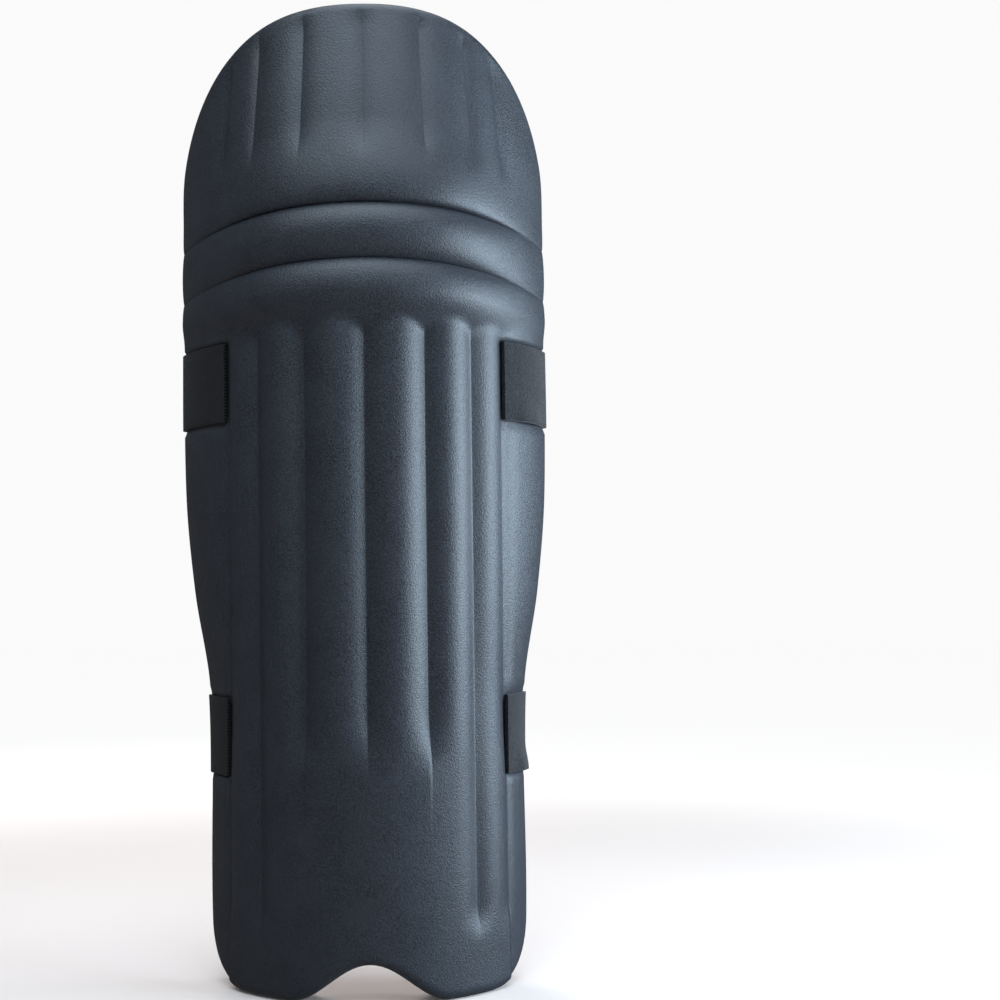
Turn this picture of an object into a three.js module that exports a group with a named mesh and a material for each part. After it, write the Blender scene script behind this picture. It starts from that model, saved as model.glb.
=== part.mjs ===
// A moulded cricket batting pad, standing upright on its two foot lobes.
// Millimetres, +Z up. The front faces -Y, the leg goes behind it, and X runs across it.
import * as THREE from "three";

// Driving dimensions of the shell
const HEIGHT = 618;
const WRAP = THREE.MathUtils.degToRad(70);
const WALL = 12;
const RIM_ROUND = 4;
const SHOULDER = 490;
const DOME_POWER = 2.7;

// Foot lobes: flat between the notch in the middle and the rounded outer corners
const NOTCH_HALF = 51;
const NOTCH_RISE = 24;
const CORNER_RUN = 42;
const CORNER_RISE = 40;

// Lines across the front, at the middle of the pad, and how far they drop at its sides
const WING_FOOT = 35;
const RIB_FOOT = 132;
const RIB_TOP = 414;
const CREASE_LOW = 454;
const CREASE_HIGH = 487;
const BAND_TOP = 522;
const CREASE_DROP = 10;

// Grooves that run up the front, by their distance from the middle
const GROOVES = [37, 66, 86];
const SHORT_LANES = 2;
const RIB_HEIGHT = 5.5;
const RIB_EASE = 16;
const RIB_END_SHARE = 0.35;
const INSTEP_LEVEL = 4.4;
const DOME_RIB = 2.2;
const DOME_LEVEL = 3;
const ROLL_HEIGHT = 13;
const ROLL_SIDE_SHARE = 0.3;
const ROLL_FADE_START = 0.35;
const CREASE_LEVEL = 4;
const WING_LEVEL = 2.5;
const WING_CROWN = 1;

// Linings, counted inwards from the shell's inner face
const GAP = 0.3;
const CLOTH = 1.5;
const CLOTH_FLOOR = WALL + GAP * 2;
const LINING_FLOOR = CLOTH_FLOOR + CLOTH + GAP * 2;
const CHANNEL_WALL = 4;
const EDGE_WALL = 2;
const KNEE_LOFT = 15;
const KNEE_VALLEY = { depth: 5, from: THREE.MathUtils.degToRad(5), to: THREE.MathUtils.degToRad(19) };
const CENTRE_LOFT = 13;
const SIDE_LOFT = 24;
const SIDE_INNER_SHARE = 0.55;
const SIDE_RIDGE = 0.75;
const EDGE_CLEAR = THREE.MathUtils.degToRad(1);
const KNEE_REACH = THREE.MathUtils.degToRad(62);
const KNEE_COLUMNS = 20;
const LABEL_COLUMNS = 6;
const LINING_TOP = 610;
const BOLSTER_FOOT = 14;

// Share of a panel's width or length in which its edge rounds over
const TURNS = {
  knee: { across: 0.12, along: 0.14 },
  column: { across: 0.5, along: 0.05 },
  bolster: { inner: 0.16, outer: 0.24, along: 0.06 },
};

const LABEL = { bottom: 512, height: 35, wall: 1.2, wave: 3 };

// Straps, their rings and the webbing that holds the rings
const STRAP_WIDTH = 50;
const STRAP_WALL = 2.5;
const STRAP_HEIGHTS = { upper: 382, lower: 158 };
const STRAP_END = 87.5;
const STRAP_BOW = 4;
const RING = { width: 27, height: 64, bar: 8, end: 6, wall: 4, round: 7, bevel: 1.2 };
const BAR_TURN_IN = 0.5;
const RING_SET_IN = 23;
const RING_SET_BACK = 11.5;
const FOLD_BACK = 46;
const CROSSING_SHARES = [0.08, 0.2, 0.35, 0.5, 0.65, 0.8, 0.92];

// Half-width and front line of the shell, from the floor up
const SECTIONS = [
  { z: 0, half: 102, front: 3 },
  { z: 60, half: 103.5, front: 0 },
  { z: 185, half: 103.5, front: -3.5 },
  { z: 250, half: 112.5, front: -5.3 },
  { z: 315, half: 119, front: -7.2 },
  { z: 430, half: 120, front: -10.5 },
  { z: 500, half: 119, front: -10 },
  { z: 618, half: 117, front: 6 },
];

// Edges of the linings by height: the side bolster's inner and outer edge, the centre column's half-width
const LINING_EDGES = [
  { z: 0, inner: 46, outer: 60, column: 26 },
  { z: 80, inner: 46, outer: 61, column: 25 },
  { z: 160, inner: 51, outer: 63, column: 23 },
  { z: 250, inner: 58, outer: 66, column: 22 },
  { z: 330, inner: 62, outer: 67, column: 22 },
  { z: 400, inner: 62, outer: 67, column: 25 },
  { z: 447, inner: 62, outer: 67, column: 31 },
  { z: 490, inner: 66, outer: 67, column: 31 },
  { z: 512, inner: 78, outer: 67, column: 31 },
  { z: 526, inner: 94, outer: 66.5, column: 31 },
];
const BOLSTER_TOP = 524;
const COLUMN_TOP = 447;
const KNEE_FOOT = 449;
const KNEE_SIDE_FOOT = 528;

const COLOURS = {
  shell: { color: 0x4a4b52, roughness: 0.62, metalness: 0 },
  cloth: { color: 0x151517, roughness: 0.9, metalness: 0 },
  knee: { color: 0x1d1d20, roughness: 0.85, metalness: 0 },
  channel: { color: 0x1a1b1f, roughness: 0.85, metalness: 0 },
  column: { color: 0xd4d4d8, roughness: 0.8, metalness: 0 },
  bolster: { color: 0x8d8f9c, roughness: 0.8, metalness: 0 },
  label: { color: 0xa9aab0, roughness: 0.45, metalness: 0 },
  strap: { color: 0x121214, roughness: 0.95, metalness: 0 },
  ring: { color: 0xf1f1ef, roughness: 0.35, metalness: 0 },
};

const { lerp, clamp, smoothstep, degToRad } = THREE.MathUtils;

// Smooth curve through a table's column, read at height z
function read(table, column, z) {
  const last = table.length - 1;
  const at = clamp(z, table[0].z, table[last].z);
  const k = Math.min(last - 1, table.findLastIndex((row) => row.z <= at));
  const slope = (i) => {
    const a = table[Math.max(0, i - 1)];
    const b = table[Math.min(last, i + 1)];
    return (b[column] - a[column]) / (b.z - a.z);
  };
  const step = table[k + 1].z - table[k].z;
  const t = (at - table[k].z) / step;
  const rise = table[k + 1][column] - table[k][column];
  const bend = t * t * (3 - 2 * t);
  const lead = t * (1 - t) * (1 - t) * slope(k) * step;
  const trail = t * t * (t - 1) * slope(k + 1) * step;
  return table[k][column] + bend * rise + lead + trail;
}

// The shell's section is an arc round the leg: angle from the middle, height, and depth inside its face
const radius = (z) => read(SECTIONS, "half", z) / Math.sin(WRAP);

function place(angle, z, inset) {
  const r = radius(z);
  const y = read(SECTIONS, "front", z) + r - (r - inset) * Math.cos(angle);
  return new THREE.Vector3((r - inset) * Math.sin(angle), y, z);
}

// Share of the way from the middle of the pad to its edge, across the front
const across = (angle) => Math.min(1, Math.abs(Math.sin(angle)) / Math.sin(WRAP));

// Outlines: the dome on top, and the lobes, notch and corners at the foot
function domeTop(angle, top, reach) {
  const share = Math.min(1, Math.abs(Math.sin(angle)) / Math.sin(reach));
  return SHOULDER + (top - SHOULDER) * (1 - share ** DOME_POWER) ** (1 / DOME_POWER);
}

function footEdge(angle) {
  const run = radius(0) * Math.abs(angle);
  if (run < NOTCH_HALF) return NOTCH_RISE * Math.cos((Math.PI * run) / (2 * NOTCH_HALF)) ** 2;
  const past = clamp((run - radius(0) * WRAP + CORNER_RUN) / CORNER_RUN, 0, 1);
  return CORNER_RISE * (1 - Math.sqrt(1 - past * past));
}

// A closed solid between two grids of points that share their rows and columns
function wall(face, back) {
  const columns = face.length;
  const rows = face[0].length;
  const points = [...face.flat(), ...back.flat()];
  const id = (side, i, j) => side * columns * rows + i * rows + j;
  const index = [];
  const quad = (a, b, c, d) => index.push(a, b, c, a, c, d);
  for (let i = 0; i + 1 < columns; i += 1) {
    for (let j = 0; j + 1 < rows; j += 1) {
      quad(id(0, i, j), id(0, i + 1, j), id(0, i + 1, j + 1), id(0, i, j + 1));
      quad(id(1, i, j), id(1, i, j + 1), id(1, i + 1, j + 1), id(1, i + 1, j));
    }
    quad(id(1, i, 0), id(1, i + 1, 0), id(0, i + 1, 0), id(0, i, 0));
    quad(id(0, i, rows - 1), id(0, i + 1, rows - 1), id(1, i + 1, rows - 1), id(1, i, rows - 1));
  }
  for (let j = 0; j + 1 < rows; j += 1) {
    const end = columns - 1;
    quad(id(0, 0, j), id(0, 0, j + 1), id(1, 0, j + 1), id(1, 0, j));
    quad(id(1, end, j), id(1, end, j + 1), id(0, end, j + 1), id(0, end, j));
  }
  const geometry = new THREE.BufferGeometry().setFromPoints(points);
  geometry.setIndex(index);
  geometry.computeVertexNormals();
  return geometry;
}

// Front relief: how far the moulded face stands out of the plain arc
const hump = (share) => Math.sqrt(Math.max(0, 1 - (2 * share - 1) ** 2));
const creaseDrop = (angle) => CREASE_DROP * across(angle) ** 2;

function relief(lane, share, angle, z) {
  const drop = creaseDrop(angle);
  const wing = lane === GROOVES.length;
  if (z < RIB_TOP) {
    const rib = wing ? WING_LEVEL - WING_CROWN * (1 - hump(share)) : RIB_HEIGHT * hump(share);
    const plain = wing ? WING_LEVEL : INSTEP_LEVEL;
    const start = lane < SHORT_LANES ? RIB_FOOT : WING_FOOT;
    const ribbed = smoothstep(z, start, start + RIB_EASE);
    const ending = smoothstep(RIB_TOP - z, 0, RIB_EASE);
    return lerp(plain, rib, ribbed) * lerp(RIB_END_SHARE, 1, ending);
  }
  const low = CREASE_LOW - drop;
  const high = CREASE_HIGH - drop;
  const fade = lerp(1, ROLL_SIDE_SHARE, smoothstep(across(angle), ROLL_FADE_START, 1));
  if (z < low) return roll((z - RIB_TOP) / (low - RIB_TOP), fade);
  if (z < high) return roll((z - low) / (high - low), fade);
  const dome = DOME_LEVEL + DOME_RIB * (wing ? 0.5 : hump(share));
  const climb = (z - high) / (BAND_TOP - CREASE_HIGH);
  if (climb < 0.5) return roll(climb, fade);
  return lerp(ROLL_HEIGHT * fade, dome, smoothstep(climb, 0.5, 1));
}

function roll(share, fade) {
  return fade * lerp(CREASE_LEVEL, ROLL_HEIGHT, hump(clamp(share, 0, 1)));
}

// Columns of the shell: lanes between the grooves, and the wing outside the last groove
const LANE_SHARES = [0, 0.2, 0.5, 0.8];
const WING_SHARES = [0, 0.3, 0.6, 0.87, 1];

function shellColumns() {
  const half = GROOVES.flatMap((_, lane) => LANE_SHARES.map((share) => ({ lane, share })));
  half.push(...WING_SHARES.map((share) => ({ lane: GROOVES.length, share })));
  const left = half.slice(1).reverse().map((column) => ({ ...column, side: -1 }));
  return [...left, ...half.map((column) => ({ ...column, side: 1 }))];
}

function columnAngle({ lane, share, side }, z) {
  const edge = (k) => {
    if (k === 0) return 0;
    return k > GROOVES.length ? WRAP : Math.asin(GROOVES[k - 1] / radius(z));
  };
  return side * lerp(edge(lane), edge(lane + 1), share);
}

// Rows: every piece on the shin shares these heights, and takes shares of the way to its own ends
const SHIN_LINES = [70, 132, 175, 210, 250, 290, 330, 395];
const RIB_FOOT_LINES = [140, 148];
const ROW_SHARES = {
  foot: [0, 0.06, 0.25, 0.55],
  ribs: [0.45, 0.8],
  roll: [0, 0.15, 0.5, 0.85],
  dome: [0, 0.04, 0.14, 0.22, 0.29, 0.52, 0.78, 0.95, 1],
  liningFoot: [0, 0.25],
  lining: [0.35, 0.7, 0.9, 1],
  cloth: [0.12, 0.25, 0.38, 0.51, 0.64, 0.77, 0.9, 1],
};

function shellRows(column) {
  const foot = footEdge(columnAngle(column, 0));
  const crease = (z) => z - creaseDrop(columnAngle(column, z));
  const top = domeTop(columnAngle(column, SHOULDER), HEIGHT, WRAP);
  const between = (low, high, shares) => shares.map((share) => lerp(low, high, share));
  return [
    ...between(foot, SHIN_LINES[0], ROW_SHARES.foot),
    ...[...SHIN_LINES, ...RIB_FOOT_LINES].sort((a, b) => a - b),
    ...between(SHIN_LINES.at(-1), RIB_TOP, ROW_SHARES.ribs),
    ...between(RIB_TOP, crease(CREASE_LOW), ROW_SHARES.roll),
    ...between(crease(CREASE_LOW), crease(CREASE_HIGH), ROW_SHARES.roll),
    ...between(crease(CREASE_HIGH), top, ROW_SHARES.dome),
  ];
}

function shellGeometry() {
  const columns = shellColumns();
  const face = [];
  const back = [];
  columns.forEach((column, i) => {
    const rows = shellRows(column);
    const side = i === 0 || i === columns.length - 1;
    const points = rows.map((z, j) => {
      const angle = columnAngle(column, z);
      const rim = side || j === 0 || j === rows.length - 1;
      const turn = rim ? RIM_ROUND : 0;
      const out = relief(column.lane, column.share, angle, z);
      return [place(angle, z, turn - out), place(angle, z, WALL - turn / 2)];
    });
    face.push(points.map((pair) => pair[0]));
    back.push(points.map((pair) => pair[1]));
  });
  return wall(face, back);
}

// Padded panels lie on the shell's inside: a floor depth, and a rise that swells away from the edges
const even = (count) => Array.from({ length: count + 1 }, (_, i) => i / count);
const ease = (count) => even(count).map((share) => (1 - Math.cos(Math.PI * share)) / 2);

function swell(share, turn) {
  const near = Math.min(share, 1 - share) / turn;
  return near >= 1 ? 1 : Math.sqrt(Math.max(0, 1 - (1 - near) ** 2));
}

const easedRows = (count) => (foot, top) => ease(count).map((share) => lerp(foot, top, share));
const shinRows = (shares) => (foot, top) => [
  ...ROW_SHARES.liningFoot.map((share) => lerp(foot, SHIN_LINES[0], share)),
  ...SHIN_LINES,
  ...shares.map((share) => lerp(SHIN_LINES.at(-1), top, share)),
];

function panel({ columns, rows, left, right, low, high, floor, rise }) {
  const face = [];
  const back = [];
  columns.forEach((p) => {
    const foot = low(lerp(left(0), right(0), p), p);
    const top = high(lerp(left(KNEE_FOOT), right(KNEE_FOOT), p), p);
    const points = rows(foot, top).map((z) => {
      const q = (z - foot) / (top - foot);
      const angle = lerp(left(z), right(z), p);
      const base = floor(angle, z);
      return [place(angle, z, base), place(angle, z, base + rise(p, q, angle))];
    });
    face.push(points.map((pair) => pair[0]));
    back.push(points.map((pair) => pair[1]));
  });
  return wall(face, back);
}

const liningFloor = () => LINING_FLOOR;
const atDepth = (x, z, depth) => Math.asin(x / (radius(z) - depth));
const bolsterInner = (z) => atDepth(read(LINING_EDGES, "inner", z), z, LINING_FLOOR + EDGE_WALL);
const bolsterOuter = (z) => degToRad(read(LINING_EDGES, "outer", z));

function backClothGeometry() {
  const reach = WRAP - EDGE_CLEAR;
  return panel({
    columns: even(16),
    rows: shinRows(ROW_SHARES.cloth),
    left: () => -reach,
    right: () => reach,
    low: (angle) => footEdge(angle) + CLOTH,
    high: (angle) => domeTop(angle, HEIGHT, WRAP) - CLOTH,
    floor: () => CLOTH_FLOOR,
    rise: () => CLOTH,
  });
}

// The knee lining follows the top of the side bolsters, and dips along its middle strip
function kneeLine(angle) {
  const turned = Math.abs(angle);
  let z = KNEE_FOOT;
  while (z < KNEE_SIDE_FOOT && bolsterInner(z) < turned + EDGE_CLEAR) z += 1;
  return z;
}

function kneeRise(p, q, angle) {
  const dip = KNEE_VALLEY.depth * (1 - smoothstep(Math.abs(angle), KNEE_VALLEY.from, KNEE_VALLEY.to));
  const crown = swell(p, TURNS.knee.across) * swell(q, TURNS.knee.along);
  return EDGE_WALL + (KNEE_LOFT - EDGE_WALL - dip) * crown;
}

const kneeTop = (angle) => domeTop(angle, LINING_TOP, WRAP - EDGE_CLEAR);

function kneeGeometry() {
  return panel({
    columns: even(KNEE_COLUMNS),
    rows: easedRows(9),
    left: () => -KNEE_REACH,
    right: () => KNEE_REACH,
    low: kneeLine,
    high: kneeTop,
    floor: liningFloor,
    rise: kneeRise,
  });
}

function labelGeometry() {
  const reach = (KNEE_REACH * LABEL_COLUMNS) / KNEE_COLUMNS;
  const wave = (p) => LABEL.wave * Math.sin(2 * Math.PI * p);
  const kneeFace = (angle, z) => {
    const q = (z - kneeLine(angle)) / (kneeTop(angle) - kneeLine(angle));
    return LINING_FLOOR + kneeRise((angle / KNEE_REACH + 1) / 2, q, angle) + GAP * 2;
  };
  return panel({
    columns: even(LABEL_COLUMNS),
    rows: easedRows(4),
    left: () => -reach,
    right: () => reach,
    low: (angle, p) => LABEL.bottom + wave(p),
    high: (angle, p) => LABEL.bottom + LABEL.height + wave(p),
    floor: kneeFace,
    rise: () => LABEL.wall,
  });
}

function channelGeometry() {
  const edge = (z) => bolsterInner(z) - EDGE_CLEAR / 2;
  return panel({
    columns: even(8),
    rows: shinRows(ROW_SHARES.lining),
    left: (z) => -edge(z),
    right: edge,
    low: (angle) => footEdge(angle) + EDGE_WALL,
    high: () => KNEE_FOOT - 1,
    floor: liningFloor,
    rise: () => CHANNEL_WALL,
  });
}

function columnGeometry() {
  const floor = LINING_FLOOR + CHANNEL_WALL + GAP * 2;
  const edge = (z) => atDepth(read(LINING_EDGES, "column", z), z, floor);
  return panel({
    columns: ease(6),
    rows: shinRows(ROW_SHARES.lining),
    left: (z) => -edge(z),
    right: edge,
    low: (angle) => footEdge(angle) + EDGE_WALL * 2,
    high: () => COLUMN_TOP,
    floor: () => floor,
    rise: (p, q) => {
      const crown = swell(p, TURNS.column.across) * swell(q, TURNS.column.along);
      return EDGE_WALL + (CENTRE_LOFT - EDGE_WALL) * crown;
    },
  });
}

// A side bolster rises from the channel to a ridge near its outer edge, then drops as a steep gusset
function bolsterGeometry(side) {
  const left = side > 0 ? bolsterInner : (z) => -bolsterOuter(z);
  const right = side > 0 ? bolsterOuter : (z) => -bolsterInner(z);
  const climb = (p) => {
    const out = side > 0 ? p : 1 - p;
    const ramp = lerp(SIDE_INNER_SHARE, 1, smoothstep(out, 0, SIDE_RIDGE));
    return ramp * swell(out, out < 0.5 ? TURNS.bolster.inner : TURNS.bolster.outer);
  };
  return panel({
    columns: ease(8),
    rows: shinRows(ROW_SHARES.lining),
    left,
    right,
    low: (angle) => footEdge(angle) + BOLSTER_FOOT,
    high: () => BOLSTER_TOP,
    floor: liningFloor,
    rise: (p, q) => EDGE_WALL + (SIDE_LOFT - EDGE_WALL) * climb(p) * swell(q, TURNS.bolster.along),
  });
}

// Straps and webbing are bands of constant width: a plan route at each of three heights, given thickness
function band(route, middle) {
  const heights = [middle - STRAP_WIDTH / 2, middle, middle + STRAP_WIDTH / 2];
  const rows = heights.map((z) => {
    const points = route(z);
    return points.map((point, i) => {
      const before = points[Math.max(0, i - 1)];
      const after = points[Math.min(points.length - 1, i + 1)];
      const ahead = after.clone().sub(before).normalize();
      const away = new THREE.Vector3(ahead.y, -ahead.x, 0).multiplyScalar(STRAP_WALL / 2);
      const at = new THREE.Vector3(point.x, point.y, z);
      return { face: at.clone().add(away), back: at.clone().sub(away) };
    });
  });
  const grid = (side) => rows[0].map((_, i) => rows.map((row) => row[i][side]));
  return wall(grid("face"), grid("back"));
}

// Plan route over the shell's front and round its rim, for the +X side
const STRAP_CLEAR = WING_LEVEL + GAP * 2 + STRAP_WALL / 2;
const plan = (point) => new THREE.Vector2(point.x, point.y);

function frontRun(z) {
  const start = Math.asin(STRAP_END / radius(z));
  const stop = WRAP - degToRad(1);
  const run = ease(7).map((share) => plan(place(lerp(start, stop, share), z, -STRAP_CLEAR)));
  const middle = plan(place(WRAP, z, WALL / 2 - WING_LEVEL / 2));
  const out = new THREE.Vector2(Math.sin(WRAP), -Math.cos(WRAP));
  const on = new THREE.Vector2(Math.cos(WRAP), Math.sin(WRAP));
  const reach = WALL / 2 + WING_LEVEL / 2 + GAP * 2 + STRAP_WALL / 2;
  const lift = RIM_ROUND + STRAP_WALL / 2;
  for (const turn of [18, 40, 62, 84]) {
    const a = degToRad(turn);
    const point = middle.clone().addScaledVector(out, reach * Math.cos(a));
    run.push(point.addScaledVector(on, lift * Math.sin(a)));
  }
  return run;
}

const mirror = (points) => points.map((point) => new THREE.Vector2(-point.x, point.y));

function ringCentre(z) {
  const rim = place(WRAP, z, 0);
  return new THREE.Vector2(-(rim.x - RING_SET_IN), rim.y + RING_SET_BACK);
}

const TURN = RING.wall / 2 + GAP * 1.5 + STRAP_WALL / 2;

// A turn round one of the ring's bars, from behind it to the leg side
function barTurn(centre, reach) {
  const steps = [90, 60, 30, 0, -30, -60, -90];
  return steps.map((degrees) => {
    const a = degToRad(degrees);
    return new THREE.Vector2(centre.x + reach * Math.cos(a), centre.y + Math.abs(reach) * Math.sin(a));
  });
}

function strapGeometry(middle) {
  const ring = ringCentre(middle);
  const slot = RING.width / 2 - RING.bar;
  const bar = new THREE.Vector2(ring.x + slot + BAR_TURN_IN, ring.y);
  const to = new THREE.Vector2(bar.x, bar.y + TURN);
  const end = new THREE.Vector2(bar.x + FOLD_BACK, bar.y - TURN);
  const route = (z) => {
    const front = frontRun(z);
    const crossing = CROSSING_SHARES.map((share) => {
      const point = front.at(-1).clone().lerp(to, share);
      point.y += STRAP_BOW * hump(share);
      return point;
    });
    return [...front, ...crossing, ...barTurn(bar, -TURN), end];
  };
  return band(route, middle);
}

function anchorGeometry(middle) {
  const ring = ringCentre(middle);
  const slot = RING.width / 2 - RING.bar;
  const bar = new THREE.Vector2(ring.x - slot - BAR_TURN_IN, ring.y);
  const outside = ring.x - RING.width / 2;
  const climb = [
    new THREE.Vector2(outside - STRAP_WALL, ring.y + STRAP_WALL / 2),
    new THREE.Vector2(outside + 1, ring.y + TURN),
  ];
  const end = new THREE.Vector2(outside, ring.y - TURN);
  return band((z) => [...mirror(frontRun(z)), ...climb, ...barTurn(bar, TURN), end], middle);
}

function roundedRectangle(target, width, height, round) {
  const x = width / 2 - round;
  const y = height / 2 - round;
  target.absarc(x, y, round, 0, Math.PI / 2);
  target.absarc(-x, y, round, Math.PI / 2, Math.PI);
  target.absarc(-x, -y, round, Math.PI, Math.PI * 1.5);
  target.absarc(x, -y, round, Math.PI * 1.5, Math.PI * 2);
  return target;
}

function ringGeometry(z) {
  const { bar, end, wall: thick, bevel } = RING;
  const trim = bevel * 2;
  const outer = roundedRectangle(new THREE.Shape(), RING.width - trim, RING.height - trim, RING.round);
  const slot = { width: RING.width - bar * 2 + trim, height: RING.height - end * 2 + trim };
  const hole = roundedRectangle(new THREE.Path(), slot.width, slot.height, RING.round / 3);
  outer.holes.push(hole);
  const geometry = new THREE.ExtrudeGeometry(outer, {
    depth: thick - trim,
    bevelThickness: bevel,
    bevelSize: bevel,
    bevelSegments: 1,
    curveSegments: 3,
  });
  const centre = ringCentre(z);
  geometry.translate(0, 0, bevel - thick / 2);
  geometry.rotateX(Math.PI / 2);
  return geometry.translate(centre.x, centre.y, z);
}

const pad = new THREE.Group();

function add(name, geometry, colour) {
  const mesh = new THREE.Mesh(geometry, new THREE.MeshStandardMaterial(COLOURS[colour]));
  mesh.name = name;
  pad.add(mesh);
}

add("front_shell", shellGeometry(), "shell");
add("back_cloth", backClothGeometry(), "cloth");
add("knee_pad", kneeGeometry(), "knee");
add("label_patch", labelGeometry(), "label");
add("channel_lining", channelGeometry(), "channel");
add("centre_bolster", columnGeometry(), "column");
add("side_bolster_left", bolsterGeometry(-1), "bolster");
add("side_bolster_right", bolsterGeometry(1), "bolster");
for (const [level, z] of Object.entries(STRAP_HEIGHTS)) {
  add(`strap_${level}`, strapGeometry(z), "strap");
  add(`anchor_${level}`, anchorGeometry(z), "strap");
  add(`ring_${level}`, ringGeometry(z), "ring");
}

// The origin is on the floor, under the middle of the pad's box
const box = new THREE.Box3().setFromObject(pad);
const middle = box.getCenter(new THREE.Vector3());
pad.position.set(-middle.x, -middle.y, -box.min.z);

export default pad;
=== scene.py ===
import math

import bpy
import numpy as np
from mathutils import Matrix, Vector


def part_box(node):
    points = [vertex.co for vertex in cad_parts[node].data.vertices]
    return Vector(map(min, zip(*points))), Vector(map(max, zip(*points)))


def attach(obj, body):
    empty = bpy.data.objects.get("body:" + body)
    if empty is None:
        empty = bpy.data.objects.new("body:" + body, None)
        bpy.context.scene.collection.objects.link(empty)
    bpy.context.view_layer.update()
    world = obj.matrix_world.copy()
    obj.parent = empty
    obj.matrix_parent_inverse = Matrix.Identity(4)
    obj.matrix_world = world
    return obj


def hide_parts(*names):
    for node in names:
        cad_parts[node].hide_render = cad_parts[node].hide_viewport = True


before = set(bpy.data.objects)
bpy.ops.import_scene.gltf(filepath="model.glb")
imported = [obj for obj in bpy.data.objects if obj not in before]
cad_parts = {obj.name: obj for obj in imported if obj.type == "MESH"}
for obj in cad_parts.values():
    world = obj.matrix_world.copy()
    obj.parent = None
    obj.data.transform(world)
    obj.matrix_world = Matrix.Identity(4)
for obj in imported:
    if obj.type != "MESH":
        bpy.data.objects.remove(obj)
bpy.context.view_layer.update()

# A moulded cricket batting pad, standing on its foot lobes. Metres, +Z up, the front faces -Y.
# Driving sizes of the shell
HEIGHT = 0.618
WRAP = math.radians(70)
WALL = 0.012
RIM_ROUND = 0.0055
BACK_ROUND = 0.002
SHOULDER = 0.490
DOME_POWER = 2.6

# Foot lobes: flat between the notch in the middle and the rounded outer corners
NOTCH_HALF = 0.051
NOTCH_RISE = 0.024
CORNER_RUN = 0.045
CORNER_RISE = 0.040

# Lines across the front, at the middle of the pad, and how far they drop at its sides
WING_FOOT = 0.035
RIB_FOOT = 0.132
RIB_TOP = 0.414
CREASE_LOW = 0.4525
CREASE_HIGH = 0.487
BAND_TOP = 0.522
CREASE_DROP = 0.013

# Ribs between the grooves that run up the front, counted from the middle outwards
GROOVES = (0.0, 0.037, 0.066, 0.086)
RIB_HEIGHTS = (0.0066, 0.0062, 0.0034)
RIB_EASE = 0.020
GROOVE_FADE = 0.045
LAST_GROOVE_SHARE = 0.55
WING_TURN = 4.0
SHORT_LANES = 2
INSTEP_LEVEL = 0.0044
WING_LEVEL = 0.0025
DOME_LEVEL = 0.0070
DOME_SIDE_SHARE = 0.42
DOME_RIB = 0.0021
DOME_RIB_POWER = 2.8
DOME_RIB_START = {"from": -0.014, "to": 0.008}
DOME_RIB_CLEAR = 0.016
DOME_GATHER = 0.92
BAND_HEIGHT = 0.0118
BAND_POWER = 3.2
BAND_BLEND = (0.4, 1.6)
ROLL_HEIGHT = 0.013
ROLL_POWER = 1.3
ROLL_SIDE_SHARE = 0.3
ROLL_FADE_START = 0.35
ROLL_FOOT = 0.405
ROLL_FOOT_POWER = 0.8
CREASE_LEVEL = 0.0060
CREASE_SIDE_LEVEL = 0.0090
CREASE_SIDE_START = 0.6
MEET_EASE = 0.002

# Steps of the shell's mesh: columns in each lane and wing, rows between its lines
LANE_STEPS = (14, 12, 10)
WING_STEPS = 34
WING_CROWD = 2.5
ROW_STEPS = {"foot": 26, "instep": 22, "rib_end": 12, "ribs": 46, "rib_top": 12,
             "roll": 26, "second_roll": 24, "band": 24, "dome": 56}
INSTEP_FOOT = WING_FOOT + 0.035
BAND_ROWS_SHARE = 0.26
DOME_CROWD = 0.8
OUTLINE_STEPS = 300
OUTLINE_CROWD = 2.2

# Linings, counted inwards from the shell's face
GAP = 0.0003
CLOTH = 0.0015
CLOTH_FLOOR = WALL + GAP * 2
LINING_FLOOR = CLOTH_FLOOR + CLOTH + GAP * 2
CHANNEL_WALL = 0.004
EDGE_WALL = 0.002
KNEE_LOFT = 0.015
KNEE_VALLEY = {"depth": 0.005, "from": math.radians(5), "to": math.radians(19)}
KNEE_TURN = {"across": 0.12, "along": 0.14}
CENTRE_LOFT = 0.013
CENTRE_TURN = {"across": 0.5, "along": 0.05}
SIDE_LOFT = 0.0175
SIDE_LEAN = math.radians(20)
SIDE_SPREAD = 1.5
SIDE_INNER_SHARE = 0.55
SIDE_RIDGE = 0.82
SIDE_SEAM = {"dip": 0.06, "width": 0.035}
SIDE_TURN = {"inner": 0.16, "outer": 0.24, "foot": 0.06, "top": 0.075}
PLUMP_CAP = {"knee": 0.005, "column": 0.003, "bolster": 0.004}
PLUMP_STEPS = 20
PLUMP = {"quality": 5, "mass": 0.2, "tension_stiffness": 12, "compression_stiffness": 12,
         "shear_stiffness": 6, "bending_stiffness": 0.4, "use_pressure": True,
         "uniform_pressure_force": 4, "shrink_min": -0.025}
EDGE_CLEAR = math.radians(1)
KNEE_REACH = math.radians(66.3)
LABEL_REACH = math.radians(18.6)
LINING_TOP = 0.610
BOLSTER_FOOT = 0.014
BOLSTER_TOP = 0.547
COLUMN_TOP = 0.447
KNEE_FOOT = 0.449
KNEE_SIDE_FOOT = 0.524
FLANK_WIDTH = 0.016
FLANK_TOP = 0.600
LABEL = {"bottom": 0.511, "height": 0.033, "length": 0.075, "wall": 0.0012, "round": 0.006}
LABEL_TOP_WAVE = {"rise": 0.005, "at": 0.64, "spread": 0.17}
LABEL_FOOT_WAVE = {"rise": 0.0045, "at": 0.52, "spread": 0.22}

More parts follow.
